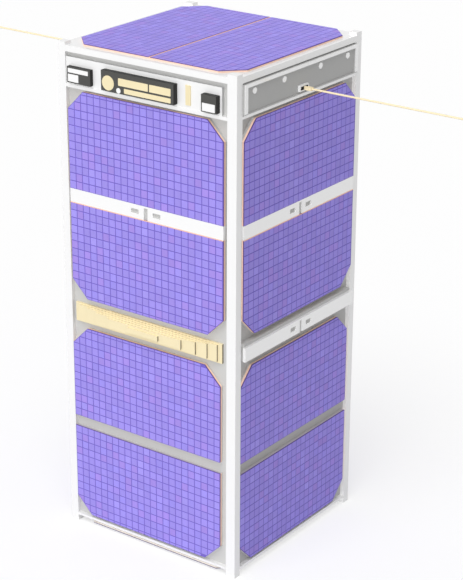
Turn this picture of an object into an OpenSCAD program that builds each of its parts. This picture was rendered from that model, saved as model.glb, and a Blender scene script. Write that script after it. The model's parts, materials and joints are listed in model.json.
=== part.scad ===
// Small box-shaped satellite: four corner rails, solar boards on every side,
// a sensor band at the front, a guide bar and a fold-down wire antenna on each flank.
// Origin: centre of the footprint, on the plane of the rail feet. Front faces -Y.

/* [Body] */
// width over the rails, flank to flank
body_w = 100; // [96:1:120]
// depth over the rails, front to back
body_d = 97.5; // [90:0.5:120]
// height of the rails, foot to tip
rail_h = 243.5; // [200:0.5:360]
// width of a rail's outer faces
rail_face = 4.1; // [3.6:0.1:5]
// added width of the front right and back left rails, across the front and back
rail_extra = 1; // [0:0.1:1.2]
// reach of a rail's inner ledge, from the corner
rail_reach = 8.5; // [7:0.1:12]

/* [End frames] */
// rail foot below the bottom frame's lip
foot_reach = 3.2; // [2.8:0.1:6]
// height of the bottom frame's flush lip
lip_h = 1.2; // [0.8:0.1:3]
// height of the set-back part below the lip
skirt_h = 1.8; // [1:0.1:2]
// set-back of that part from the sides
skirt_setback = 2.6; // [1:0.1:4]
// height of the top frame
top_frame_h = 2.9; // [2:0.1:6]
// rail tip above the top frame
tip_reach = 1.4; // [1.2:0.1:4]

/* [Side panels] */
// depth of the panels' faces behind the rail faces
panel_recess = 2; // [1.6:0.1:2.4]
// thickness of a side panel
panel_t = 1.2; // [0.8:0.1:1.6]

/* [Solar boards] */
// thickness of the solar cells
cell_t = 0.5; // [0.2:0.05:0.6]
// thickness of the boards that carry them
board_t = 1; // [0.8:0.05:1.2]
// height of the upper cells' faces in front of the rail faces
upper_proud = 0.7; // [0.2:0.1:1]
// gap between the front and back upper boards and the rails
upper_gap = 1.4; // [0.2:0.1:6]
// gap between the flanks' upper boards and the rails
flank_upper_gap = 0.65; // [0.2:0.05:6]
// gap between the lower boards and the left rail
lower_gap = 0.1; // [0.1:0.05:2]
// gap between the front and back lower boards and the right rail
lower_gap_right = 3.5; // [1:0.1:8]
// gap between the flanks' lower boards and the right rail
flank_lower_gap_right = 1.45; // [0.5:0.05:8]
// cut of the boards' corners
board_cut = 8.8; // [4:0.1:14]
// gap between the two lower boards
pair_gap = 5.7; // [2:0.1:10]
// gap under the lowest board
low_gap = 1.2; // [0.6:0.1:4]

/* [End boards] */
// thickness of the boards on the top and bottom
end_board_t = 0.7; // [0.4:0.05:0.9]
// thickness of the solar cells on them
end_cell_t = 0.3; // [0.2:0.05:0.4]
// margin from the flanks to the end boards
end_margin_x = 3.4; // [2.8:0.1:8]
// margin from the front and back to the end boards
end_margin_y = 2.7; // [2:0.1:8]
// shift of the top board to the back, and of the bottom boards to the front
end_shift = 0.7; // [0:0.1:1]
// cut of the end boards' corners
end_cut = 9; // [6:0.1:14]
// line left between the two top cells
top_line = 1; // [0.5:0.1:4]
// gap between the two bottom boards
bottom_gap = 5.6; // [2:0.1:12]

/* [Cross bands] */
// height of the white band between the upper cells
band_h = 6.6; // [5.6:0.1:10]
// width of the antenna guide slit in the band
band_slit_w = 2.2; // [1.4:0.1:3]
// width of the slots beside the slits
slot_w = 4.4; // [3:0.1:6]
// height of the slots beside the slits
slot_h = 2.1; // [1.2:0.1:3]
// distance of the slots from the slit's centre
slot_x = 6.25; // [5.5:0.05:9]
// white left over the slit
slit_land = 0.9; // [0.5:0.1:1.6]

/* [Flank bars] */
// height of the grey bar on each flank
bar_h = 8.2; // [7:0.1:12]
// height of its front above the rail faces
bar_proud = 0.7; // [0.3:0.1:1]
// grey step above the guide plate
bar_step = 1.4; // [0.8:0.1:2]
// thickness of the guide plate
guide_t = 1.4; // [0.8:0.1:1.6]
// gap between the bar and the rails
bar_gap = 1.45; // [0.2:0.05:6]
// gap between the guide plate and the rails
guide_gap = 0.45; // [0.2:0.05:6]
// width of the slit in the guide plate
guide_slit_w = 1.9; // [1.4:0.1:3]
// gap below the bar
bar_gap_below = 4.6; // [2:0.1:8]
// gap above the bar
bar_gap_above = 2.8; // [2:0.1:8]

/* [Stepped covers] */
// height of the covers on the front and back
cover_h = 9.5; // [8.8:0.1:12]
// gap between the covers and the left rail
cover_gap_left = 1.5; // [0.5:0.1:2]
// gap between the covers and the right rail
cover_gap_right = 3.1; // [1:0.1:3.5]
// depth of the base's face behind the rail faces
cover_recess = 1; // [0.4:0.1:1.4]
// thickness of each step
step_t = 0.8; // [0.4:0.05:1]
// half length of the outermost step
step_l = 9; // [4:0.5:14]
// half height of the outermost step
step_z = 1.25; // [0.8:0.05:1.6]
// half length each step adds, in quadrature
step_grow_l = 19.8; // [12:0.1:19.9]
// half height each step adds, in quadrature
step_grow_z = 1.97; // [1:0.01:2]
// gap below the covers
cover_gap = 2.5; // [1:0.1:4]

/* [Sills] */
// height of the white sill under the top band
sill_h = 1.6; // [1:0.1:4]
// gap under the sill
sill_gap = 0.9; // [0.5:0.1:3]
// height of the flanks' sills
flank_sill_h = 1.3; // [0.8:0.1:2]
// flanks' sills above the front's, at their upper edges
flank_sill_rise = 0.25; // [0:0.05:0.4]
// height of the band between sill and top frame
top_band_h = 14.8; // [14:0.1:20]

/* [Sensors] */
// height of the instrument plate
plate_h = 12.5; // [11:0.1:13.5]
// gap between the instrument plate and the right rail
plate_gap_right = 3.1; // [1:0.1:4]
// thickness of the instrument plate
plate_t = 1.6; // [1:0.1:1.6]
// depth of the wide and the right box
box_t = 2.8; // [1:0.1:3]
// depth of the left box
box1_t = 2; // [1:0.1:3]
// left box from the plate's left edge
box1_inset = 2.1; // [0.5:0.1:4]
// width of the left box
box1_w = 13.6; // [8:0.1:18]
// height of the left box
box1_h = 7.5; // [5:0.1:9]
// left edge of the wide box
box2_left = -23.1; // [-24:0.1:-22]
// width of the wide box
box2_w = 40.8; // [30:0.1:42]
// height of the wide box
box2_h = 9.3; // [6:0.1:10]
// right box from the plate's right edge
box3_inset = 1.1; // [0.5:0.1:2]
// width of the right box
box3_w = 8.1; // [5:0.1:9]
// height of the right box
box3_h = 7.8; // [5:0.1:9]
// foot of the boxes above the plate's lower edge
box_rise = 1.1; // [0.5:0.1:1.6]
// left edge of the tan strip
strip_left = 22.4; // [20:0.1:26]
// width of the tan strip
strip_w = 2.7; // [1:0.1:4]
// height of the tan strip
strip_h = 9; // [5:0.1:10]
// thickness of the tan strip
strip_t = 0.4; // [0.2:0.1:1]
// foot of the strip above the foot of the boxes
strip_rise = 0.5; // [0:0.1:0.8]

/* [Antenna housings] */
// gap between the housing and the rails
housing_gap_side = 0.25; // [0.2:0.05:3]
// height of the housing
housing_h = 13.5; // [12:0.1:13.6]
// gap between the band's lower edge and the housing
housing_gap = 0.7; // [0.6:0.1:1]
// height of the housing's rim face in front of the rail faces
housing_proud = 0.9; // [0.6:0.1:1.2]
// depth of the pocket in the housing's face
pocket_depth = 0.5; // [0.2:0.1:1]
// height of the grey ledge under the pocket
ledge_h = 0.5; // [0.4:0.1:1]
// thickness of the white trim on the rim
trim_t = 0.3; // [0.2:0.05:0.5]
// width of the trim's side bars
trim_side = 2.2; // [1:0.1:4]
// height of the trim's top bar
trim_top = 1.6; // [1:0.1:2.4]
// width of the slot in the antenna port
port_w = 5.6; // [4:0.1:8]
// spare height of that slot over the antenna's root
port_spare = 0.1; // [0.1:0.05:0.4]
// wall of the port
port_wall = 0.6; // [0.4:0.1:1]
// port above the housing's lower edge
port_rise = 1.3; // [0.6:0.1:3]
// height of the port's face in front of the rail faces
port_proud = 1.6; // [1.3:0.1:2]
// thickness of the port's floor
port_floor_t = 0.6; // [0.4:0.1:1]

/* [Antennas] */
// wire diameter
wire_d = 0.9; // [0.6:0.05:1.2]
// wire length from hinge to tip
wire_l = 170; // [120:1:170]
// depth of the wire's end in its root
wire_seat = 0.5; // [0.3:0.1:0.9]
// hinge pin in front of the rail faces
hinge_out = 3.2; // [3:0.1:4.5]
// hinge pin diameter
pin_d = 0.7; // [0.5:0.05:0.85]
// radial clearance of the pin in its lug
pin_clearance = 0.05; // [0.02:0.01:0.1]
// height of the root fork and lug
root_h = 1.5; // [1.4:0.1:2]
// length of the root in front of the pin
root_l = 2.6; // [2:0.1:8]
// thickness of the hinge lug
lug_t = 0.8; // [0.6:0.05:1.6]
// thickness of each cheek of the fork
cheek_t = 0.45; // [0.3:0.05:0.8]
// side clearance between lug and cheeks
cheek_gap = 0.1; // [0.05:0.05:0.2]
// clearance between the lug's round tip and the root
tip_clearance = 0.3; // [0.1:0.05:0.5]

/* [Electronics] */
// clearance between the electronics stack and the rails' inner ledges
stack_clearance = 1.5; // [0.5:0.1:6]
// height of the electronics stack
stack_h = 160; // [80:1:180]

/* [Hidden] */
$fn = 48;
half_w = body_w / 2;
half_d = body_d / 2;
field_low = foot_reach + lip_h;
frame_top = rail_h - tip_reach;
field_top = frame_top - top_frame_h;
fixed_h = top_band_h + sill_h + sill_gap + band_h + bar_gap_above + bar_h
    + bar_gap_below + pair_gap + low_gap;
cell_h = (field_top - field_low - fixed_h) / 4;
cell4_z = field_low + low_gap;
cell3_z = cell4_z + cell_h + pair_gap;
bar_z = cell3_z + cell_h + bar_gap_below;
cover_z = cell3_z + cell_h + cover_gap;
cell2_z = bar_z + bar_h + bar_gap_above;
band_z = cell2_z + cell_h;
cell1_z = band_z + band_h;
sill_z = cell1_z + cell_h + sill_gap;
band_top_z = sill_z + sill_h;
skirt_z = foot_reach - skirt_h;
box_z = band_top_z + box_rise;
housing_z = band_top_z + housing_gap;
pocket_z = housing_z + ledge_h;
pocket_top_z = housing_z + housing_h - trim_top;
housing_half_w = half_d - rail_face - housing_gap_side;
pocket_half_w = housing_half_w - trim_side;
port_z = housing_z + port_rise;
port_h = root_h + port_spare + 2 * port_wall;
port_half_w = port_w / 2 + port_wall;
hinge_z = port_z + port_wall + root_h / 2;
cover_steps = 5;
upper_back = cell_t + board_t - upper_proud;
lower_back = cell_t + board_t;
plate_left = inner_left(0) + lower_gap;
plate_right = inner_right(0) - plate_gap_right;
box1_left = plate_left + box1_inset;
box3_left = plate_right - box3_inset - box3_w;
plate_face = panel_recess - plate_t;
bar_face = -bar_proud;
port_floor = panel_recess - port_floor_t;

function side_w(k) = k % 2 == 0 ? body_w : body_d;
function side_out(k) = k % 2 == 0 ? half_d : half_w;

// inner edges of the rail faces at the left and right of a side
function inner_left(k) = rail_face - side_w(k) / 2;
function inner_right(k) = side_w(k) / 2 - rail_face - (k % 2 == 0 ? rail_extra : 0);

// left and right edges of a side's upper and lower boards
function upper_edges(k) = let (gap = k % 2 == 0 ? upper_gap : flank_upper_gap)
    [inner_left(k) + gap, inner_right(k) - gap];
function lower_edges(k) = [inner_left(k) + lower_gap,
    inner_right(k) - (k % 2 == 0 ? lower_gap_right : flank_lower_gap_right)];

// outline of a board in a side's plane, with cut corners at its foot or head
function board_outline(x0, x1, z0, z1, low, high) = concat(
    low > 0 ? [[x0 + low, z0], [x1 - low, z0], [x1, z0 + low]]
        : [[x0, z0], [x1, z0]],
    high > 0 ? [[x1, z1 - high], [x1 - high, z1], [x0 + high, z1], [x0, z1 - high]]
        : [[x1, z1], [x0, z1]],
    low > 0 ? [[x0, z0 + low]] : []);

// a side's own frame: X to the viewer's right, Y inwards from the rail faces
module on_side(k) {
    rotate([0, 0, 90 * k])
        translate([0, -side_out(k), 0])
            children();
}

module slab(x0, x1, y0, y1, z0, z1) {
    translate([x0, y0, z0])
        cube([x1 - x0, y1 - y0, z1 - z0]);
}

module board(x0, x1, y0, y1, z0, z1, low, high) {
    translate([0, y1, 0])
        rotate([90, 0, 0])
            linear_extrude(y1 - y0)
                polygon(board_outline(x0, x1, z0, z1, low, high));
}

// a square on one corner of the footprint, from and to a distance off it
module corner_square(sx, sy, near, far, z0, z1) {
    x0 = sx > 0 ? half_w - far : near - half_w;
    y0 = sy > 0 ? half_d - far : near - half_d;
    translate([x0, y0, z0])
        cube([far - near, far - near, z1 - z0]);
}

// full section of a rail's outer part, grown by spare towards the outside
module rail_core(sx, sy, spare, z0, z1) {
    wide = rail_face + (sx * sy < 0 ? rail_extra : 0);
    x0 = sx > 0 ? half_w - wide : -half_w - spare;
    y0 = sy > 0 ? half_d - rail_face : -half_d - spare;
    translate([x0, y0, z0])
        cube([wide + spare, rail_face + spare, z1 - z0]);
}

module rail(sx, sy) {
    color("white")
        union() {
            rail_core(sx, sy, 0, 0, rail_h);
            corner_square(sx, sy, panel_recess + panel_t, rail_reach,
                field_low, field_top);
        }
}

module frame_layer(inset, z0, z1) {
    difference() {
        slab(inset - half_w, half_w - inset, inset - half_d, half_d - inset, z0, z1);
        for (sx = [-1, 1])
            for (sy = [-1, 1])
                rail_core(sx, sy, 1, z0 - 1, z1 + 1);
    }
}

module bottom_frame() {
    color("white")
        union() {
            frame_layer(0, foot_reach, field_low);
            frame_layer(skirt_setback, skirt_z, foot_reach);
        }
}

module top_frame() {
    color("white")
        frame_layer(0, field_top, frame_top);
}

// side panel with the raised pads that the boards lie on
module panel(k) {
    upper = upper_edges(k);
    lower = lower_edges(k);
    color("silver")
        on_side(k)
            union() {
                slab(inner_left(k), inner_right(k), panel_recess,
                    panel_recess + panel_t, field_low, field_top);
                board(upper[0], upper[1], upper_back, panel_recess,
                    cell2_z, cell1_z + cell_h, board_cut, board_cut);
                board(lower[0], lower[1], lower_back, panel_recess,
                    cell3_z, cell3_z + cell_h, 0, board_cut);
                board(lower[0], lower[1], lower_back, panel_recess,
                    cell4_z, cell4_z + cell_h, board_cut, 0);
            }
}

module sill(k, z0, z1) {
    on_side(k)
        slab(inner_left(k), inner_right(k), 0, panel_recess, z0, z1);
}

module sills() {
    flank_top = band_top_z + flank_sill_rise;
    color("white") {
        for (k = [0, 2])
            sill(k, sill_z, band_top_z);
        for (k = [1, 3])
            sill(k, flank_top - flank_sill_h, flank_top);
    }
}

module upper_pair(k, y0, y1) {
    edges = upper_edges(k);
    on_side(k) {
        board(edges[0], edges[1], y0, y1, cell1_z, cell1_z + cell_h, 0, board_cut);
        board(edges[0], edges[1], y0, y1, cell2_z, cell2_z + cell_h, board_cut, 0);
    }
}

module lower_pair(k, y0, y1) {
    edges = lower_edges(k);
    on_side(k) {
        board(edges[0], edges[1], y0, y1, cell3_z, cell3_z + cell_h, 0, board_cut);
        board(edges[0], edges[1], y0, y1, cell4_z, cell4_z + cell_h, board_cut, 0);
    }
}

module upper_boards(k) {
    color("orange")
        upper_pair(k, cell_t - upper_proud, upper_back);
}

module upper_cells(k) {
    color("mediumpurple")
        upper_pair(k, -upper_proud, cell_t - upper_proud);
}

module lower_boards(k) {
    color("orange")
        lower_pair(k, cell_t, lower_back);
}

module lower_cells(k) {
    color("mediumpurple")
        lower_pair(k, 0, cell_t);
}

// outline of the top board, cut off at x = near
module top_outline(near) {
    x1 = half_w - end_margin_x;
    y1 = half_d - end_margin_y;
    polygon([[near, -y1], [x1 - end_cut, -y1], [x1, end_cut - y1],
        [x1, y1 - end_cut], [x1 - end_cut, y1], [near, y1]]);
}

// outline of the bottom boards, cut off at y = near
module bottom_outline(near) {
    x1 = half_w - end_margin_x;
    y1 = half_d - end_margin_y;
    polygon([[-x1, near], [x1, near], [x1, y1 - end_cut],
        [x1 - end_cut, y1], [end_cut - x1, y1], [-x1, y1 - end_cut]]);
}

module top_board() {
    x1 = half_w - end_margin_x;
    y1 = half_d - end_margin_y;
    color("orange")
        translate([0, end_shift, frame_top])
            linear_extrude(end_board_t)
                polygon(board_outline(-x1, x1, -y1, y1, end_cut, end_cut));
}

module top_cells() {
    color("mediumpurple")
        translate([0, end_shift, frame_top + end_board_t])
            for (turn = [0, 180])
                rotate([0, 0, turn])
                    linear_extrude(end_cell_t)
                        top_outline(top_line / 2);
}

module bottom_boards() {
    color("orange")
        translate([0, -end_shift, skirt_z - end_board_t])
            for (turn = [0, 180])
                rotate([0, 0, turn])
                    linear_extrude(end_board_t)
                        bottom_outline(bottom_gap / 2);
}

module bottom_cells() {
    color("mediumpurple")
        translate([0, -end_shift, skirt_z - end_board_t - end_cell_t])
            for (turn = [0, 180])
                rotate([0, 0, turn])
                    linear_extrude(end_cell_t)
                        bottom_outline(bottom_gap / 2);
}

// slit and hold-down slots cut through a plate between y0 and y1
module guide_cuts(slit_w, y0, y1, z0, z1) {
    slab(-slit_w / 2, slit_w / 2, y0 - 1, y1 + 1, z0 - 1, z1 - slit_land);
    for (side = [-1, 1])
        slab(side * slot_x - slot_w / 2, side * slot_x + slot_w / 2,
            y0 - 1, y1 + 1, (z0 + z1 - slot_h) / 2, (z0 + z1 + slot_h) / 2);
}

module cross_band(k) {
    edges = upper_edges(k);
    color("white")
        on_side(k)
            difference() {
                slab(edges[0], edges[1], -upper_proud, upper_back, band_z, cell1_z);
                guide_cuts(band_slit_w, -upper_proud, upper_back, band_z, cell1_z);
            }
}

module flank_bar(k) {
    color("silver")
        on_side(k)
            slab(inner_left(k) + bar_gap, inner_right(k) - bar_gap, bar_face,
                panel_recess, bar_z, bar_z + bar_h);
}

module guide_plate(k) {
    z1 = bar_z + bar_h - bar_step;
    color("white")
        on_side(k)
            difference() {
                slab(inner_left(k) + guide_gap, inner_right(k) - guide_gap,
                    bar_face - guide_t, bar_face, bar_z, z1);
                guide_cuts(guide_slit_w, bar_face - guide_t, bar_face, bar_z, z1);
            }
}

// base plate and the five steps that rise from it
module stepped_cover(k) {
    left = inner_left(k) + cover_gap_left;
    right = inner_right(k) - cover_gap_right;
    centre = (left + right) / 2;
    mid = cover_z + cover_h / 2;
    color("wheat")
        on_side(k)
            union() {
                slab(left, right, cover_recess, panel_recess,
                    cover_z, cover_z + cover_h);
                for (n = [1 : cover_steps]) {
                    half_l = sqrt(pow(step_l, 2)
                        + (cover_steps - n) * pow(step_grow_l, 2));
                    half_z = sqrt(pow(step_z, 2)
                        + (cover_steps - n) * pow(step_grow_z, 2));
                    slab(centre - half_l, centre + half_l,
                        cover_recess - n * step_t, cover_recess,
                        mid - half_z, mid + half_z);
                }
            }
}

module instrument_plate() {
    color("white")
        on_side(0)
            slab(plate_left, plate_right, plate_face, panel_recess,
                band_top_z, band_top_z + plate_h);
}

module sensor_box(left, width, height, depth) {
    color("dimgray")
        on_side(0)
            slab(left, left + width, plate_face - depth, plate_face,
                box_z, box_z + height);
}

module plate_strip() {
    color("wheat")
        on_side(0)
            slab(strip_left, strip_left + strip_w, plate_face - strip_t, plate_face,
                box_z + strip_rise, box_z + strip_rise + strip_h);
}

// grey body with a shallow pocket, notched for the antenna port
module housing(k) {
    color("silver")
        on_side(k)
            difference() {
                slab(-housing_half_w, housing_half_w, -housing_proud,
                    panel_recess, housing_z, housing_z + housing_h);
                slab(-pocket_half_w, pocket_half_w, -housing_proud - 1,
                    pocket_depth - housing_proud, pocket_z, pocket_top_z);
                slab(-port_half_w, port_half_w, -housing_proud - 1,
                    panel_recess + 1, port_z, port_z + port_h);
            }
}

// white trim on the housing's sides and top, open at the foot
module housing_trim(k) {
    color("white")
        on_side(k)
            difference() {
                slab(-housing_half_w, housing_half_w, -housing_proud - trim_t,
                    -housing_proud, pocket_z, housing_z + housing_h);
                slab(-pocket_half_w, pocket_half_w, -housing_proud - trim_t - 1,
                    1 - housing_proud, pocket_z - 1, pocket_top_z);
            }
}

// walls and floor of the port, with the lug that carries the hinge pin
module antenna_port(k) {
    color("white")
        on_side(k)
            difference() {
                union() {
                    difference() {
                        slab(-port_half_w, port_half_w, -port_proud, panel_recess,
                            port_z, port_z + port_h);
                        slab(-port_w / 2, port_w / 2, -port_proud - 1, port_floor,
                            port_z + port_wall, port_z + port_h - port_wall);
                    }
                    slab(-lug_t / 2, lug_t / 2, -hinge_out, panel_recess,
                        hinge_z - root_h / 2, hinge_z + root_h / 2);
                    translate([0, -hinge_out, hinge_z])
                        rotate([0, 90, 0])
                            cylinder(h = lug_t, d = root_h, center = true);
                }
                translate([0, -hinge_out, hinge_z])
                    rotate([0, 90, 0])
                        cylinder(h = lug_t + 2, d = pin_d + 2 * pin_clearance,
                            center = true);
            }
}

// fork, pin and wire, drawn deployed: straight out from the side
module antenna(k) {
    inner = lug_t / 2 + cheek_gap;
    outer = inner + cheek_t;
    color("wheat")
        on_side(k)
            translate([0, -hinge_out, hinge_z])
                union() {
                    for (side = [-1, 1])
                        translate([side * (inner + outer) / 2, 0, 0]) {
                            rotate([0, 90, 0])
                                cylinder(h = cheek_t, d = root_h, center = true);
                            translate([-cheek_t / 2, -root_l, -root_h / 2])
                                cube([cheek_t, root_l, root_h]);
                        }
                    slab(-outer, outer, -root_l, -root_h / 2 - tip_clearance,
                        -root_h / 2, root_h / 2);
                    rotate([0, 90, 0])
                        cylinder(h = 2 * outer, d = pin_d, center = true);
                    translate([0, -wire_l, 0])
                        rotate([-90, 0, 0])
                            cylinder(h = wire_l - root_l + wire_seat, d = wire_d);
                }
}

module electronics_stack() {
    x = half_w - rail_reach - stack_clearance;
    y = half_d - rail_reach - stack_clearance;
    color("darkslategray")
        slab(-x, x, -y, y, field_low, field_low + stack_h);
}

module rail_front_left() { rail(-1, -1); }
module rail_front_right() { rail(1, -1); }
module rail_back_left() { rail(-1, 1); }
module rail_back_right() { rail(1, 1); }
module front_panel() { panel(0); }
module right_panel() { panel(1); }
module back_panel() { panel(2); }
module left_panel() { panel(3); }
module front_upper_boards() { upper_boards(0); }
module front_upper_cells() { upper_cells(0); }
module front_lower_boards() { lower_boards(0); }
module front_lower_cells() { lower_cells(0); }
module right_upper_boards() { upper_boards(1); }
module right_upper_cells() { upper_cells(1); }
module right_lower_boards() { lower_boards(1); }
module right_lower_cells() { lower_cells(1); }
module back_upper_boards() { upper_boards(2); }
module back_upper_cells() { upper_cells(2); }
module back_lower_boards() { lower_boards(2); }
module back_lower_cells() { lower_cells(2); }
module left_upper_boards() { upper_boards(3); }
module left_upper_cells() { upper_cells(3); }
module left_lower_boards() { lower_boards(3); }
module left_lower_cells() { lower_cells(3); }
module front_cross_band() { cross_band(0); }
module right_cross_band() { cross_band(1); }
module back_cross_band() { cross_band(2); }
module left_cross_band() { cross_band(3); }
module right_bar() { flank_bar(1); }
module left_bar() { flank_bar(3); }
module right_guide_plate() { guide_plate(1); }
module left_guide_plate() { guide_plate(3); }
module front_cover() { stepped_cover(0); }
module back_cover() { stepped_cover(2); }
module left_sensor_box() { sensor_box(box1_left, box1_w, box1_h, box1_t); }
module wide_sensor_box() { sensor_box(box2_left, box2_w, box2_h, box_t); }
module right_sensor_box() { sensor_box(box3_left, box3_w, box3_h, box_t); }
module right_housing() { housing(1); }
module left_housing() { housing(3); }
module right_housing_trim() { housing_trim(1); }
module left_housing_trim() { housing_trim(3); }
module right_antenna_port() { antenna_port(1); }
module left_antenna_port() { antenna_port(3); }
module right_antenna() { antenna(1); }
module left_antenna() { antenna(3); }

rail_front_left();
rail_front_right();
rail_back_left();
rail_back_right();
bottom_frame();
top_frame();
front_panel();
right_panel();
back_panel();
left_panel();
sills();
front_upper_boards();
front_upper_cells();
front_lower_boards();
front_lower_cells();
right_upper_boards();
right_upper_cells();
right_lower_boards();
right_lower_cells();
back_upper_boards();
back_upper_cells();
back_lower_boards();
back_lower_cells();
left_upper_boards();
left_upper_cells();
left_lower_boards();
left_lower_cells();
top_board();
top_cells();
bottom_boards();
bottom_cells();
front_cross_band();
right_cross_band();
back_cross_band();
left_cross_band();
right_bar();
left_bar();
right_guide_plate();
left_guide_plate();
front_cover();
back_cover();
instrument_plate();
left_sensor_box();
wide_sensor_box();
right_sensor_box();
plate_strip();
right_housing();
left_housing();
right_housing_trim();
left_housing_trim();
right_antenna_port();
left_antenna_port();
right_antenna();
left_antenna();
electronics_stack();
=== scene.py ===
"""Looks of a small box-shaped satellite: materials, solar tiles, sensor windows and screws
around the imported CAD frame. Lengths are in metres; MM turns millimetres into them."""

import json
import math
import random

import bmesh
import bpy
from mathutils import Matrix, Vector

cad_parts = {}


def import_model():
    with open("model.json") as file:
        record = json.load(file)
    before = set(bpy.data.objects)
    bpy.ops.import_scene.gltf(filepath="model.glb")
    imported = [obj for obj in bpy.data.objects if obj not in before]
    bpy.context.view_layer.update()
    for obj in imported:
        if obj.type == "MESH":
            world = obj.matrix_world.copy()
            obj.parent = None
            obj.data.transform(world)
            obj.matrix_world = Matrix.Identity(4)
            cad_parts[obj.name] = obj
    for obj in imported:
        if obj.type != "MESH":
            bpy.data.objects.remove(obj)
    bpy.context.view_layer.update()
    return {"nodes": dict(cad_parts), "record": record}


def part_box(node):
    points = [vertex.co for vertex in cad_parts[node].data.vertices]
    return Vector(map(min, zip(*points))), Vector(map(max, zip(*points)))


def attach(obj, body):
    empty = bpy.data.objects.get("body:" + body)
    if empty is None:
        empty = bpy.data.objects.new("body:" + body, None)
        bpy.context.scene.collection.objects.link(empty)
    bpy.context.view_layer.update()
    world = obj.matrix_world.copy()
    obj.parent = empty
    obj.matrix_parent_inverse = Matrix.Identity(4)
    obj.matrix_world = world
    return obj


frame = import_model()

MM = 0.001
BODY = "body"
SIDES = ("front", "right", "back", "left")
FLANKS = (1, 3)              # the sides with an antenna, as places in SIDES

# ---------------------------------------------------------------- sizes of the added detail
CLEARANCE = 0.01 * MM        # keeps a new face off the face beside it
NEAR = 0.01 * MM             # points closer than this are at one place

TILE_PITCH = 3.81 * MM       # spacing of the solar tiles
TILE_GAP = 0.42 * MM         # dark line between two tiles
TILE_HEIGHT = 0.07 * MM      # tile above the cell's face
TILE_SUNK = 0.02 * MM        # tile below the cell's face
TILE_SLOPE = 0.06 * MM       # width of a tile's sloped rim
ROW_LEAST = 0.1              # least part of a row or column of tiles that is worth laying
TILE_LEAST = 0.22            # least part of a cut tile that is laid
TILE_SEEDS = {"upper": 20, "lower": 30, "top": 41, "bottom": 42}

STRIP_SUNK = 0.1 * MM        # board strip between the top's cells, below their faces
STRIP_THICKNESS = 0.2 * MM
LINE_WIDTH = 0.4 * MM        # board line under a cross band
LINE_HEIGHT = 0.1 * MM       # the line above the cells' faces

LABEL_HEIGHT = 0.16 * MM     # windows and labels above the sensor boxes
LABEL_SLOPE = 0.06 * MM
LABEL_TIGHT = 0.15           # their corner radii, in millimetres as their outlines are
LABEL_SOFT = 0.3
CORNER_STEPS = 4
DISC_STEPS = 40
DOT_STEPS = 24

LINER_DEPTH = 0.6 * MM       # floors of the bands' slots below the band's face
LINER_THICKNESS = 0.6 * MM
SLOT_PLACE = 6.25 * MM       # hold-down slots from the middle of a band
SLOT_WIDTH = 4.4 * MM
SLOT_HEIGHT = 2.1 * MM
SLIT_LAND = 0.9 * MM         # white left over the slit
SLIT_WIDTHS = {"cross_band": 2.2 * MM, "guide_plate": 1.9 * MM}

POCKET_DEPTH = 0.5 * MM      # pocket in the face of each antenna housing
SCREW_RADIUS = 1.5 * MM
SCREW_HEIGHT = 0.45 * MM
SCREW_BELOW_TOP = 4.0 * MM   # screw centres below the housing's top
SCREW_PLACES = (-36.5 * MM, -14.2 * MM, 14.2 * MM, 36.5 * MM)
SCREW_STEPS = 28
# a screw head's rings from its foot up, as parts of its radius and of its height
SCREW_RINGS = ((1.0, 0.0), (1.0, 0.45), (0.93, 0.75), (0.75, 0.92), (0.4, 1.0))

PORT_WALL = 0.6 * MM         # wall round the slot of an antenna port
PORT_PROUD = 1.6 * MM        # its face in front of the rail faces
LUG_HALF = 0.4 * MM          # half thickness of the hinge lug in the port


# ---------------------------------------------------------------- axes of the sides and ends
rail_low, rail_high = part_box("rail_front_right")


def side_matrix(k):
    """Side k's own axes: X to the viewer's right, Y outwards from the rail faces, Z up."""
    reach = rail_low.y if k % 2 == 0 else -rail_high.x
    flip = Matrix.Scale(-1, 4, (0, 1, 0))
    return Matrix.Rotation(math.pi / 2 * k, 4, "Z") @ Matrix.Translation((0, reach, 0)) @ flip


def end_matrix(up):
    """The top's own axes (up is 1) or the bottom's (up is -1): X right, Y outwards."""
    return Matrix(((1, 0, 0, 0), (0, 0, up, 0), (0, up, 0, 0), (0, 0, 0, 1)))


# ---------------------------------------------------------------- colours
def linear(red, green, blue):
    """A display colour of 0 to 255 a channel as scene-linear numbers."""
    def channel(value):
        value = value / 255
        return value / 12.92 if value <= 0.04045 else ((value + 0.055) / 1.055) ** 2.4
    return tuple(channel(value) for value in (red, green, blue))


def shade(colour, factor):
    return tuple(min(1.0, channel * factor) for channel in colour)


WHITE = linear(241, 241, 241)
BRASS = linear(253, 236, 196)
SLOT_SHADE = linear(26, 25, 24)        # painted shade inside the slot of an antenna port
BOARD = linear(255, 219, 199)
BOARD_PLIES = linear(252, 198, 170)
# grey on the faces of the lower boards that look up or down, below a given height
BOARD_LEVEL_GREY = linear(190, 184, 196)
CELL_BASE = linear(121, 105, 200)     # cell between its tiles
# painted shade: darker purple on the side faces of the cell plates
CELL_SIDE_SHADE = linear(96, 76, 130)
TILE_MIDDLE = linear(162, 148, 236)
TILE_PALE = linear(168, 155, 241)
TILE_BLUE = linear(159, 147, 238)
TILE_PINK = linear(168, 145, 233)
TILE_TINTS = ((0.00, TILE_PINK), (0.07, TILE_PINK), (0.15, TILE_MIDDLE),
              (0.72, TILE_MIDDLE), (0.86, TILE_BLUE), (1.00, TILE_PALE))

# ---------------------------------------------------------------- materials
TURNED = 0.5                 # a face looks along an axis if its normal has this much of it
CLOUD_LOW, CLOUD_HIGH = 0.3, 0.7      # stretch of a noise over which a colour changes
GRAIN_SCALE = 2600
GRAIN_DETAIL = 2.0
GLOSS_SPREAD = 0.06          # a surface's roughness varies this much either way
COAT_IOR = 3.0               # varnish on the white parts
COAT_ROUGHNESS = 0.15
PORT_ROUGHNESS = (0.45, 0.6)
BOARD_ROUGHNESS = (0.55, 0.7)
TILE_ROUGHNESS = (0.42, 0.56)
TILE_TONE = 0.05             # a tile is up to this much lighter or darker than its tint
TILE_STREAK = 0.04           # and so is a streak in it


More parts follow.
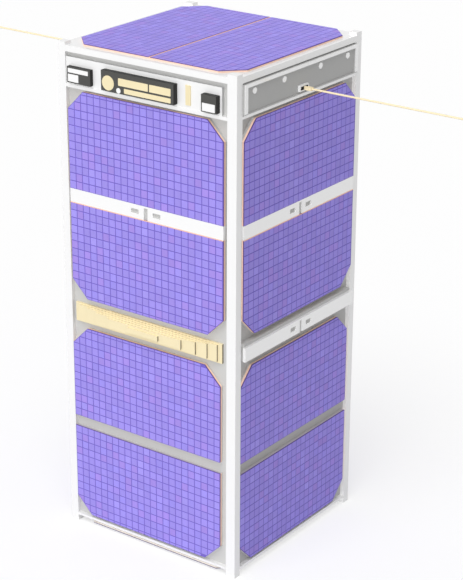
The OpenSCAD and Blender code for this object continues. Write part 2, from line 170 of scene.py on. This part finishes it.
class Nodes:
    """Short calls for building one material's node tree."""

    def __init__(self, name):
        self.material = bpy.data.materials.new(name)
        self.material.use_nodes = True
        self.tree = self.material.node_tree
        self.shader = self.tree.nodes["Principled BSDF"]

    def add(self, kind, **values):
        node = self.tree.nodes.new(kind)
        for key, value in values.items():
            setattr(node, key, value)
        return node

    def link(self, source, target):
        self.tree.links.new(source, target)

    def coordinates(self, scale=(1, 1, 1)):
        """Places on the object in metres, so that a noise's scale is a real size."""
        place = self.add("ShaderNodeTexCoord")
        mapping = self.add("ShaderNodeMapping")
        mapping.inputs["Scale"].default_value = scale
        self.link(place.outputs["Object"], mapping.inputs["Vector"])
        return mapping.outputs["Vector"]

    def noise(self, vector, scale, detail=3.0, roughness=0.5):
        node = self.add("ShaderNodeTexNoise")
        node.inputs["Scale"].default_value = scale
        node.inputs["Detail"].default_value = detail
        node.inputs["Roughness"].default_value = roughness
        self.link(vector, node.inputs["Vector"])
        return node.outputs["Fac"]

    def ramp(self, value, stops):
        node = self.add("ShaderNodeValToRGB")
        ramp = node.color_ramp
        while len(ramp.elements) < len(stops):
            ramp.elements.new(0.5)
        for element, (position, colour) in zip(ramp.elements, stops):
            element.position = position
            element.color = (*colour, 1)
        self.link(value, node.inputs["Fac"])
        return node.outputs["Color"]

    def clouded(self, cloud, colour, mottle):
        """A colour that the clouds of a noise make a little darker and lighter."""
        return self.ramp(cloud, [(CLOUD_LOW, shade(colour, 1 - mottle)),
                                 (CLOUD_HIGH, shade(colour, 1 + mottle))])

    def span(self, value, low, high):
        """Values of 0 to 1 as values of low to high."""
        node = self.add("ShaderNodeMapRange")
        node.inputs["To Min"].default_value = low
        node.inputs["To Max"].default_value = high
        self.link(value, node.inputs["Value"])
        return node.outputs["Result"]

    def mix(self, factor, first, second, blend="MIX"):
        node = self.add("ShaderNodeMix", data_type="RGBA", blend_type=blend)
        if isinstance(factor, float):
            node.inputs["Factor"].default_value = factor
        else:
            self.link(factor, node.inputs["Factor"])
        self.link(first, node.inputs["A"])
        self.link(second, node.inputs["B"])
        return node.outputs["Result"]

    def below(self, value, limit):
        """1 where the value is less than the limit."""
        node = self.add("ShaderNodeMath", operation="LESS_THAN")
        self.link(value, node.inputs[0])
        node.inputs[1].default_value = limit
        return node.outputs["Value"]

    def both(self, first, second):
        node = self.add("ShaderNodeMath", operation="MULTIPLY")
        self.link(first, node.inputs[0])
        self.link(second, node.inputs[1])
        return node.outputs["Value"]

    def size_along(self, vector, axis, centre=0.0):
        """Distance of one coordinate of a vector from a centre."""
        parts = self.add("ShaderNodeSeparateXYZ")
        self.link(vector, parts.inputs[0])
        shifted = self.add("ShaderNodeMath", operation="SUBTRACT")
        self.link(parts.outputs[axis], shifted.inputs[0])
        shifted.inputs[1].default_value = centre
        size = self.add("ShaderNodeMath", operation="ABSOLUTE")
        self.link(shifted.outputs[0], size.inputs[0])
        return size.outputs["Value"]

    def turned_from(self, axis):
        """1 where a face doesn't look along the axis, either way."""
        normal = self.add("ShaderNodeTexCoord").outputs["Normal"]
        return self.below(self.size_along(normal, axis), TURNED)

    def finished(self, colours, gloss, roughness, height, depth, specular):
        """Gives the shader its colour, its roughness from least to most, and its bump."""
        self.link(colours, self.shader.inputs["Base Color"])
        self.link(self.span(gloss, *roughness), self.shader.inputs["Roughness"])
        bump = self.add("ShaderNodeBump")
        bump.inputs["Strength"].default_value = 1.0
        bump.inputs["Distance"].default_value = depth
        self.link(height, bump.inputs["Height"])
        self.link(bump.outputs["Normal"], self.shader.inputs["Normal"])
        self.shader.inputs["Specular IOR Level"].default_value = specular
        return self.material


def surface(name, colour, roughness, mottle=0.02, mottle_scale=45, grain=0.012 * MM,
            ior=1.45, specular=0.35, coat=0.0, edge=None, outwards="Y", sideways=None):
    """A painted, moulded or blasted surface: faint mottling, fine grain, uneven gloss.
    With an edge colour, faces that don't look along the outwards axis get that colour as painted
    shade, or only those that look along the sideways axis get it."""
    nodes = Nodes(name)
    vector = nodes.coordinates()
    cloud = nodes.noise(vector, mottle_scale, detail=4.0, roughness=0.6)
    colours = nodes.clouded(cloud, colour, mottle)
    if edge:
        edges = nodes.clouded(cloud, edge, mottle)
        pair = (edges, colours) if sideways else (colours, edges)
        colours = nodes.mix(nodes.turned_from(sideways or outwards), *pair)
    nodes.shader.inputs["IOR"].default_value = ior
    nodes.shader.inputs["Coat Weight"].default_value = coat
    nodes.shader.inputs["Coat IOR"].default_value = COAT_IOR
    nodes.shader.inputs["Coat Roughness"].default_value = COAT_ROUGHNESS
    return nodes.finished(colours, cloud, (roughness - GLOSS_SPREAD, roughness + GLOSS_SPREAD),
                          nodes.noise(vector, GRAIN_SCALE, GRAIN_DETAIL), grain, specular)


def port_white(name):
    """Antenna port: white outside, with painted shade inside its slot, and a brass lug standing
    out.
    """
    nodes = Nodes(name)
    low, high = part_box("right_antenna_port")
    vector = nodes.coordinates()
    middle = (low.z + high.z) / 2
    half_width = high.y - PORT_WALL + CLEARANCE
    half_height = (high.z - low.z) / 2 - PORT_WALL + CLEARANCE
    face = rail_high.x + PORT_PROUD
    across = nodes.below(nodes.size_along(vector, "Y"), half_width)
    along = nodes.below(nodes.size_along(vector, "Z", middle), half_height)
    behind = nodes.below(nodes.size_along(vector, "X"), face - CLEARANCE)
    in_slot = nodes.both(nodes.both(across, along), behind)
    on_lug = nodes.below(nodes.size_along(vector, "Y"), LUG_HALF + CLEARANCE)
    cloud = nodes.noise(vector, scale=300)
    white, brass, dark = (nodes.clouded(cloud, base, 0.02) for base in (WHITE, BRASS, SLOT_SHADE))
    lug_or_wall = nodes.mix(nodes.both(on_lug, along), white, brass)
    return nodes.finished(nodes.mix(in_slot, lug_or_wall, dark), cloud, PORT_ROUGHNESS,
                          nodes.noise(vector, GRAIN_SCALE, GRAIN_DETAIL), depth=0.01 * MM,
                          specular=0.3)


def laminate(name, colour, plies_colour, grey_below=0.0):
    """Board edge: thin darker plies through its thickness, seen where a board is cut.
    Edges that look up or down and lie under the given height are grey."""
    nodes = Nodes(name)
    vector = nodes.coordinates()
    plies = nodes.noise(vector, scale=1400, detail=1.0)
    cloud = nodes.noise(vector, scale=120)
    base = nodes.clouded(cloud, colour, 0.03)
    dark = nodes.ramp(cloud, [(CLOUD_LOW, plies_colour), (CLOUD_HIGH, shade(plies_colour, 1.05))])
    colours = nodes.mix(nodes.span(plies, 0.0, 0.35), base, dark)
    if grey_below:
        level_grey = nodes.clouded(cloud, BOARD_LEVEL_GREY, 0.03)
        low = nodes.below(nodes.size_along(vector, "Z"), grey_below)
        level_greyed = nodes.mix(nodes.turned_from("Z"), level_grey, colours)
        colours = nodes.mix(low, colours, level_greyed)
    return nodes.finished(colours, cloud, BOARD_ROUGHNESS, plies, depth=0.02 * MM, specular=0.3)


def tile_glass(name):
    """Solar tiles: each has its own tint, with fine crystal streaks under a satin cover."""
    nodes = Nodes(name)
    tint = nodes.add("ShaderNodeAttribute", attribute_name="tint").outputs["Fac"]
    light = nodes.add("ShaderNodeAttribute", attribute_name="light").outputs["Fac"]
    tone = nodes.span(light, 1 - TILE_TONE, 1 + TILE_TONE)
    streaks = nodes.noise(nodes.coordinates((1, 1, 0.35)), scale=900)
    streak = nodes.span(streaks, 1 - TILE_STREAK, 1 + TILE_STREAK)
    colours = nodes.ramp(tint, TILE_TINTS)
    for factor in (tone, streak):
        grey = nodes.add("ShaderNodeCombineColor")
        for channel in ("Red", "Green", "Blue"):
            nodes.link(factor, grey.inputs[channel])
        colours = nodes.mix(1.0, colours, grey.outputs["Color"], "MULTIPLY")
    return nodes.finished(colours, streaks, TILE_ROUGHNESS, streaks, depth=0.004 * MM,
                          specular=0.1)


lower_low, lower_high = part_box("front_lower_cells")

white_frame = surface("white_frame", WHITE, 0.5, 0.008, ior=2.0, specular=0.5, coat=0.5)
white_bright = surface("white_bright", WHITE, 0.5, 0.006, ior=2.2, specular=0.5, coat=1.0)
# the plate's faces that don't look outwards are grey: painted shade on its sides
plate_white = surface("plate_white", WHITE, 0.5, 0.006, ior=2.0, specular=0.5,
                      edge=linear(196, 196, 196))
port_finish = port_white("port_finish")
grey_panel = surface("grey_panel", linear(206, 206, 204), 0.5, 0.015)
grey_housing = surface("grey_housing", linear(184, 184, 183), 0.5, 0.015)
# a darker copy of the panel grey for the flank panels and bars: painted shade of the sides
grey_flank_shaded = surface("grey_flank_shaded", linear(197, 197, 196), 0.55, 0.015, specular=0.1)
# grey of the slot and slit floors: painted shade of the recesses
slot_shade_grey = surface("slot_shade_grey", linear(200, 200, 198), 0.6, specular=0.1)
board_edge = laminate("board_edge", BOARD, BOARD_PLIES)
board_low = laminate("board_low", BOARD, BOARD_PLIES, (lower_low.z + lower_high.z) / 2)
board_line = surface("board_line", linear(255, 200, 170), 0.6)
# a paler copy of the board colours for the bottom boards: painted light against the shadow near
# the floor
board_pale_lit = laminate("board_pale_lit", linear(255, 247, 238), linear(255, 230, 208))
# the cells' faces that don't look outwards get a darker purple, painted shade
cell_plates = {axis: surface(f"cell_plate_{axis.lower()}", CELL_BASE, 0.5, 0.03, 200,
                             specular=0.1, edge=CELL_SIDE_SHADE, outwards=axis) for axis in "XYZ"}
solar_tiles = tile_glass("solar_tiles")
tan_cover = surface("tan_cover", linear(244, 230, 188), 0.6, mottle_scale=60)
# the cover's step faces that look along X are a dark tan: painted shade on its risers
stepped_tan = surface("stepped_tan", linear(244, 230, 190), 0.6, mottle_scale=60,
                      specular=0.2, edge=linear(140, 131, 114), sideways="X")
# the boxes' faces that don't look outwards are darker: painted shade on their sides
black_case = surface("black_case", linear(84, 84, 82), 0.6, 0.04, 80, specular=0.1,
                     edge=linear(56, 56, 55))
pale_brass = surface("pale_brass", BRASS, 0.4, 0.03, 300, grain=0.004 * MM, specular=0.5)
board_green = surface("board_green", linear(60, 105, 78), 0.5, 0.06, 90)

SLOT_MATERIALS = {
    "frame_white": white_frame,
    "band_white": white_bright,
    "panel_grey": grey_panel,
    "housing_grey": grey_housing,
    "board_orange": board_edge,
    "solar_cell": cell_plates["Y"],
    "cover_tan": tan_cover,
    "sensor_black": black_case,
    "antenna_brass": pale_brass,
    "stack_green": board_green,
}
# nodes that look different from the rest of their slot, by what their names end with
NODE_MATERIALS = {
    "instrument_plate": plate_white,
    "bottom_boards": board_pale_lit,
    "sills": white_bright,
    "antenna_port": port_finish,
    "_cover": stepped_tan,
    "lower_boards": board_low,
    "right_panel": grey_flank_shaded,
    "left_panel": grey_flank_shaded,
    "right_bar": grey_flank_shaded,
    "left_bar": grey_flank_shaded,
    "right_upper_cells": cell_plates["X"],
    "right_lower_cells": cell_plates["X"],
    "left_upper_cells": cell_plates["X"],
    "left_lower_cells": cell_plates["X"],
    "top_cells": cell_plates["Z"],
    "bottom_cells": cell_plates["Z"],
}


def node_material(name, slot):
    """The material of a CAD node: its own if it has one, and its slot's if not."""
    for ending, material in NODE_MATERIALS.items():
        if name.endswith(ending):
            return material
    return SLOT_MATERIALS[slot]


def dress_frame():
    for row in frame["record"]["subparts"]:
        mesh = frame["nodes"][row["node"]].data
        mesh.materials.clear()
        mesh.materials.append(node_material(row["node"], row["material_slot"]))


# ---------------------------------------------------------------- mesh helpers
def add_piece(shape, name, material):
    """Turns a bmesh into a named piece that rides on the satellite's body."""
    mesh = bpy.data.meshes.new(name)
    shape.normal_update()
    shape.to_mesh(mesh)
    shape.free()
    mesh.materials.append(material)
    piece = bpy.data.objects.new(name, mesh)
    bpy.context.scene.collection.objects.link(piece)
    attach(piece, BODY)


def join_rings(shape, rings):
    """Closes a stack of rings, lowest first: returns its two caps, and the faces between."""
    caps = [shape.faces.new(rings[-1]), shape.faces.new(rings[0][::-1])]
    sides = []
    for lower, upper in zip(rings, rings[1:]):
        for n in range(len(lower)):
            after = (n + 1) % len(lower)
            sides.append(shape.faces.new((lower[n], lower[after], upper[after], upper[n])))
    return caps, sides


def add_prism(shape, outline, matrix, low, high, slope):
    """A closed flat block from the height low to high, its top edge sloped.
    Outline points are (x, z) in the axes of the matrix, whose Y is the height."""
    centre = Vector((sum(x for x, _ in outline), sum(z for _, z in outline))) / len(outline)
    rings = []
    for height, inset in ((low, 0), (high - slope, 0), (high, slope)):
        ring = []
        for x, z in outline:
            arm = Vector((x, z)) - centre
            point = centre + arm * (1 - inset / max(arm.length, slope))
            ring.append(shape.verts.new(matrix @ Vector((point.x, height, point.y))))
        rings.append(ring)
    caps, sides = join_rings(shape, rings)
    return caps + sides


def add_plates(name, outlines, matrix, low, high, slope, material):
    """A piece of one or more flat blocks, all between the same two heights."""
    shape = bmesh.new()
    for outline in outlines:
        add_prism(shape, outline, matrix, low, high, slope)
    add_piece(shape, name, material)


def rectangle(left, right, bottom, top):
    return [(left, bottom), (right, bottom), (right, top), (left, top)]


def rounded_box(left, right, bottom, top, radius):
    """Outline of a rectangle with round corners, counterclockwise from the lower right."""
    points = []
    corners = ((right, bottom, -90), (right, top, 0), (left, top, 90), (left, bottom, 180))
    for x, z, start in corners:
        cx = x - radius if x == right else x + radius
        cz = z - radius if z == top else z + radius
        for n in range(CORNER_STEPS + 1):
            angle = math.radians(start + 90 * n / CORNER_STEPS)
            points.append((cx + radius * math.cos(angle), cz + radius * math.sin(angle)))
    return points


def circle(x, z, radius, steps):
    turn = 2 * math.pi / steps
    return [(x + radius * math.cos(n * turn), z + radius * math.sin(n * turn))
            for n in range(steps)]


# ---------------------------------------------------------------- solar tiles
def outer_faces(node, matrix):
    """Outlines of a node's outermost flat faces, as (x, z) in the matrix's own axes,
    with their height there."""
    shape = bmesh.new()
    shape.from_mesh(frame["nodes"][node].data)
    shape.transform(matrix.inverted())
    bmesh.ops.remove_doubles(shape, verts=shape.verts, dist=NEAR / 10)
    shape.normal_update()
    bmesh.ops.dissolve_limit(shape, angle_limit=math.radians(1), verts=shape.verts,
                             edges=shape.edges)
    height = max(vertex.co.y for vertex in shape.verts)
    outlines = []
    for face in shape.faces:
        if min(vertex.co.y for vertex in face.verts) > height - NEAR:
            outlines.append([(vertex.co.x, vertex.co.z) for vertex in face.verts])
    shape.free()
    return outlines, height


def clipped(shape, outline, margin):
    """A convex shape cut down to a convex outline drawn in by the margin."""
    turn = sum(a[0] * b[1] - b[0] * a[1] for a, b in zip(outline, outline[1:] + outline[:1]))
    for (ax, az), (bx, bz) in zip(outline, outline[1:] + outline[:1]):
        nx, nz = (bz - az, ax - bx) if turn > 0 else (az - bz, bx - ax)
        length = math.hypot(nx, nz)
        limit = (ax * nx + az * nz) / length - margin
        over = [(x * nx + z * nz) / length - limit for x, z in shape]
        kept = []
        for n, point in enumerate(shape):
            before = n - 1
            if (over[n] > 0) != (over[before] > 0):
                part = over[before] / (over[before] - over[n])
                kept.append(tuple(a + (b - a) * part for a, b in zip(shape[before], point)))
            if over[n] <= 0:
                kept.append(point)
        shape = kept
    return shape


def area(shape):
    pairs = zip(shape, shape[1:] + shape[:1])
    return abs(sum(a[0] * b[1] - b[0] * a[1] for a, b in pairs)) / 2


def square_end(outline, end, left, right):
    """True if the outline keeps both its corners at the height end."""
    return all(min(math.hypot(x - side, z - end) for x, z in outline) < NEAR
               for side in (left, right))


def tile_cell(shape, outline, height, matrix, tint, light, draw):
    """Lays tiles on one cell, from its uncut end; those at its rim are cut to it."""
    xs, zs = [p[0] for p in outline], [p[1] for p in outline]
    left, right, bottom, top = min(xs), max(xs), min(zs), max(zs)
    columns = math.ceil((right - left) / TILE_PITCH - ROW_LEAST)
    rows = math.ceil((top - bottom) / TILE_PITCH - ROW_LEAST)
    start = bottom
    if not square_end(outline, bottom, left, right):
        start = top - rows * TILE_PITCH
        if not square_end(outline, top, left, right):
            start = (bottom + top - rows * TILE_PITCH) / 2
    gap, reach = TILE_GAP / 2, TILE_PITCH - TILE_GAP / 2
    for row in range(rows):
        for column in range(columns):
            x, z = left + column * TILE_PITCH, start + row * TILE_PITCH
            square = rectangle(x + gap, x + reach, z + gap, z + reach)
            tile = clipped(square, outline, gap - CLEARANCE)
            values = draw.random(), draw.random()
            if len(tile) < 3 or area(tile) < TILE_LEAST * area(square):
                continue
            faces = add_prism(shape, tile, matrix, height - TILE_SUNK,
                              height + TILE_HEIGHT, TILE_SLOPE)
            for face in faces:
                face[tint], face[light] = values


def tiles(place, matrix, seed):
    """All the tiles on the cells of one place, as one piece."""
    draw = random.Random(seed)
    shape = bmesh.new()
    tint = shape.faces.layers.float.new("tint")
    light = shape.faces.layers.float.new("light")
    outlines, height = outer_faces(f"{place}_cells", matrix)
    for outline in sorted(outlines):
        tile_cell(shape, outline, height, matrix, tint, light, draw)
    add_piece(shape, f"{place}_tiles", solar_tiles)


def all_tiles():
    for k, side in enumerate(SIDES):
        for level in ("upper", "lower"):
            tiles(f"{side}_{level}", side_matrix(k), TILE_SEEDS[level] + k)
    for end, up in (("top", 1), ("bottom", -1)):
        tiles(end, end_matrix(up), TILE_SEEDS[end])


# ---------------------------------------------------------------- orange board lines
def top_board_strip():
    """The board of the top shows as a strip between its two cells."""
    matrix = end_matrix(1)
    outlines, height = outer_faces("top_cells", matrix)
    first, second = sorted(outlines)
    left = max(x for x, z in first) + CLEARANCE
    right = min(x for x, z in second) - CLEARANCE
    ends = [z for x, z in first]
    high = height - STRIP_SUNK
    add_plates("top_board_strip", [rectangle(left, right, min(ends), max(ends))], matrix,
               high - STRIP_THICKNESS, high, CLEARANCE, board_line)


def side_board_strips():
    """The board of each side shows as a line under its cross band."""
    for k, side in enumerate(SIDES):
        matrix = side_matrix(k)
        outlines, height = outer_faces(f"{side}_upper_cells", matrix)
        lower = min(outlines, key=lambda outline: min(z for x, z in outline))
        across, top = [x for x, z in lower], max(z for x, z in lower)
        line = rectangle(min(across), max(across), top - LINE_WIDTH, top - CLEARANCE)
        add_plates(f"{side}_board_strip", [line], matrix, height - TILE_SUNK,
                   height + LINE_HEIGHT, CLEARANCE, board_line)


# ---------------------------------------------------------------- sensor band
def label(name, box_node, outline, material, slot):
    """A thin plate on a sensor box; the outline is in millimetres from the box's lower left."""
    low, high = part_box(box_node)
    matrix = side_matrix(0)
    face = (matrix.inverted() @ low).y
    placed = [(low.x + x * MM, low.z + z * MM) for x, z in outline]
    add_plates(name, [placed], matrix, face, face + LABEL_HEIGHT, LABEL_SLOPE, material)


def sensor_labels():
    left, wide, right = "left_sensor_box", "wide_sensor_box", "right_sensor_box"
    white, tan = (white_bright, "band_white"), (tan_cover, "cover_tan")
    label("left_box_bar", left, rounded_box(0.6, 12.4, 4.8, 6.8, LABEL_TIGHT), *white)
    label("left_box_window", left, rounded_box(0.6, 6.7, 0.6, 4.1, LABEL_TIGHT), *white)
    label("wide_box_disc", wide, circle(4.05, 3.9, 3.4, DISC_STEPS), *tan)
    label("wide_box_dot", wide, circle(10.0, 1.3, 1.25, DOT_STEPS), *white)
    label("wide_box_upper_left", wide, rounded_box(9.9, 26.7, 3.7, 7.1, LABEL_SOFT), *tan)
    label("wide_box_upper_right", wide, rounded_box(27.4, 39.3, 3.7, 7.1, LABEL_SOFT), *tan)
    label("wide_box_lower", wide, rounded_box(13.2, 39.3, 0.6, 2.8, LABEL_SOFT), *tan)
    label("right_box_window", right, rounded_box(0.6, 7.5, 0.5, 4.1, LABEL_TIGHT), *white)


# ---------------------------------------------------------------- slots of the bands
def slot_floors(k, kind):
    """Grey floors in the two hold-down slots of a band and in its slit: painted shade of those
    recesses.
    """
    name = f"{SIDES[k]}_{kind}"
    low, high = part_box(name)
    matrix = side_matrix(k)
    corners = [matrix.inverted() @ corner for corner in (low, high)]
    middle = sum(corner.x for corner in corners) / 2 if kind == "guide_plate" else 0.0
    top = max(corner.y for corner in corners) - LINER_DEPTH
    centre = (low.z + high.z) / 2
    half, rise = SLOT_WIDTH / 2 - CLEARANCE, SLOT_HEIGHT / 2 - CLEARANCE
    slots = [rectangle(x - half, x + half, centre - rise, centre + rise)
             for x in (middle - SLOT_PLACE, middle + SLOT_PLACE)]
    half = SLIT_WIDTHS[kind] / 2 - CLEARANCE
    slit = rectangle(middle - half, middle + half, low.z + CLEARANCE,
                     high.z - SLIT_LAND - CLEARANCE)
    for part, outlines in (("slot_floors", slots), ("slit_floor", [slit])):
        add_plates(f"{name}_{part}", outlines, matrix, top - LINER_THICKNESS, top, CLEARANCE,
                   slot_shade_grey)


def all_slot_floors():
    for k in range(len(SIDES)):
        slot_floors(k, "cross_band")
    for k in FLANKS:
        slot_floors(k, "guide_plate")


# ---------------------------------------------------------------- housing screws
def add_screw(shape, matrix, x, z, height):
    """A low domed head with a soft rim."""
    rings = []
    for radius, rise in SCREW_RINGS:
        ring = []
        for n in range(SCREW_STEPS):
            angle = 2 * math.pi * n / SCREW_STEPS
            point = Vector((x + SCREW_RADIUS * radius * math.cos(angle),
                            height + SCREW_HEIGHT * rise,
                            z + SCREW_RADIUS * radius * math.sin(angle)))
            ring.append(shape.verts.new(matrix @ point))
        rings.append(ring)
    _, sides = join_rings(shape, rings)
    for face in sides:
        face.smooth = True


def housing_screws():
    for k in FLANKS:
        matrix = side_matrix(k)
        low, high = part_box(f"{SIDES[k]}_housing")
        face = max((matrix.inverted() @ corner).y for corner in (low, high))
        shape = bmesh.new()
        for x in SCREW_PLACES:
            add_screw(shape, matrix, x, high.z - SCREW_BELOW_TOP, face - POCKET_DEPTH)
        add_piece(shape, f"{SIDES[k]}_housing_screws", white_bright)


# ---------------------------------------------------------------- stage, light and camera
FLOOR_SIZE = 8.0
FLOOR_LIT = (0.8, 0.8, 0.8, 1)        # the floor's colour in the light that it sends back
FLOOR_SEEN = (0.95, 0.95, 0.95, 1)    # and to the camera, which sees it mixed with a glow
FLOOR_GLOW = 1.12
FLOOR_GLOW_SHARE = 0.5
AMBIENT = 0.45                        # light of the surroundings, where 1 is white

# the photograph's view, from the front right and a little above
CAMERA_PLACE = Vector((0.50394, -0.67353, 0.45641))
CAMERA_AIM = Vector((0.00778, 0.00568, 0.11864))
CAMERA_ROLL = math.radians(0.254)
CAMERA_LENS = 117.17
CAMERA_FILM = 36                      # width of the film, in millimetres as the lens is


def seen_directly(tree):
    """1 for camera, mirror and glass rays, and 0 for the rays that only carry light."""
    path = tree.nodes.new("ShaderNodeLightPath")
    seen = path.outputs["Is Camera Ray"]
    for ray in ("Is Glossy Ray", "Is Transmission Ray"):
        either = tree.nodes.new("ShaderNodeMath")
        either.operation = "MAXIMUM"
        tree.links.new(seen, either.inputs[0])
        tree.links.new(path.outputs[ray], either.inputs[1])
        seen = either.outputs[0]
    return seen


def floor():
    """Pale floor: part of what the camera sees is its shading, which keeps a light shadow."""
    material = bpy.data.materials.new("stage_floor")
    material.use_nodes = True
    tree = material.node_tree
    tree.nodes.clear()
    output = tree.nodes.new("ShaderNodeOutputMaterial")
    lit = tree.nodes.new("ShaderNodeBsdfDiffuse")
    lit.inputs["Color"].default_value = FLOOR_LIT
    glow = tree.nodes.new("ShaderNodeEmission")
    glow.inputs["Strength"].default_value = FLOOR_GLOW
    pale = tree.nodes.new("ShaderNodeBsdfDiffuse")
    pale.inputs["Color"].default_value = FLOOR_SEEN
    seen = tree.nodes.new("ShaderNodeMixShader")
    seen.inputs["Fac"].default_value = FLOOR_GLOW_SHARE
    tree.links.new(pale.outputs[0], seen.inputs[1])
    tree.links.new(glow.outputs[0], seen.inputs[2])
    choice = tree.nodes.new("ShaderNodeMixShader")
    tree.links.new(seen_directly(tree), choice.inputs["Fac"])
    tree.links.new(lit.outputs[0], choice.inputs[1])
    tree.links.new(seen.outputs[0], choice.inputs[2])
    tree.links.new(choice.outputs[0], output.inputs["Surface"])
    half = FLOOR_SIZE / 2
    mesh = bpy.data.meshes.new("floor")
    corners = [(-half, -half, 0), (half, -half, 0), (half, half, 0), (-half, half, 0)]
    mesh.from_pydata(corners, [], [(0, 1, 2, 3)])
    mesh.materials.append(material)
    ground = bpy.data.objects.new("floor", mesh)
    bpy.context.scene.collection.objects.link(ground)


def world():
    """White surroundings: bright to the camera and in reflections, softer as light."""
    sky = bpy.data.worlds.new("studio")
    bpy.context.scene.world = sky
    sky.use_nodes = True
    tree = sky.node_tree
    background = tree.nodes["Background"]
    background.inputs["Color"].default_value = (1, 1, 1, 1)
    strength = tree.nodes.new("ShaderNodeMapRange")
    strength.inputs["To Min"].default_value = AMBIENT
    strength.inputs["To Max"].default_value = 1.0
    tree.links.new(seen_directly(tree), strength.inputs["Value"])
    tree.links.new(strength.outputs["Result"], background.inputs["Strength"])


def sun(name, towards, strength, spread, casts):
    """A distant lamp in the direction given; strength is what a facing white surface shows."""
    data = bpy.data.lights.new(name, "SUN")
    data.energy = strength * math.pi
    data.angle = math.radians(spread)
    data.use_shadow = casts
    lamp = bpy.data.objects.new(name, data)
    lamp.rotation_mode = "QUATERNION"
    lamp.rotation_quaternion = Vector(towards).to_track_quat("Z", "Y")
    bpy.context.scene.collection.objects.link(lamp)


def camera():
    data = bpy.data.cameras.new("camera")
    data.lens = CAMERA_LENS
    data.sensor_width = CAMERA_FILM
    data.clip_start = 0.01
    data.clip_end = 50
    eye = bpy.data.objects.new("camera", data)
    turn = (CAMERA_AIM - CAMERA_PLACE).to_track_quat("-Z", "Y").to_matrix().to_4x4()
    roll = Matrix.Rotation(CAMERA_ROLL, 4, "Z")
    eye.matrix_world = Matrix.Translation(CAMERA_PLACE) @ turn @ roll
    bpy.context.scene.collection.objects.link(eye)
    bpy.context.scene.camera = eye


def build():
    dress_frame()
    all_tiles()
    sensor_labels()
    top_board_strip()
    side_board_strips()
    all_slot_floors()
    housing_screws()
    floor()
    world()
    sun("key", towards=(0.12, -0.42, 0.90), strength=0.45, spread=40, casts=True)
    sun("fill", towards=(-0.50, -0.85, 0.15), strength=0.33, spread=20, casts=False)
    camera()
    bpy.context.scene.view_settings.view_transform = "Standard"


build()
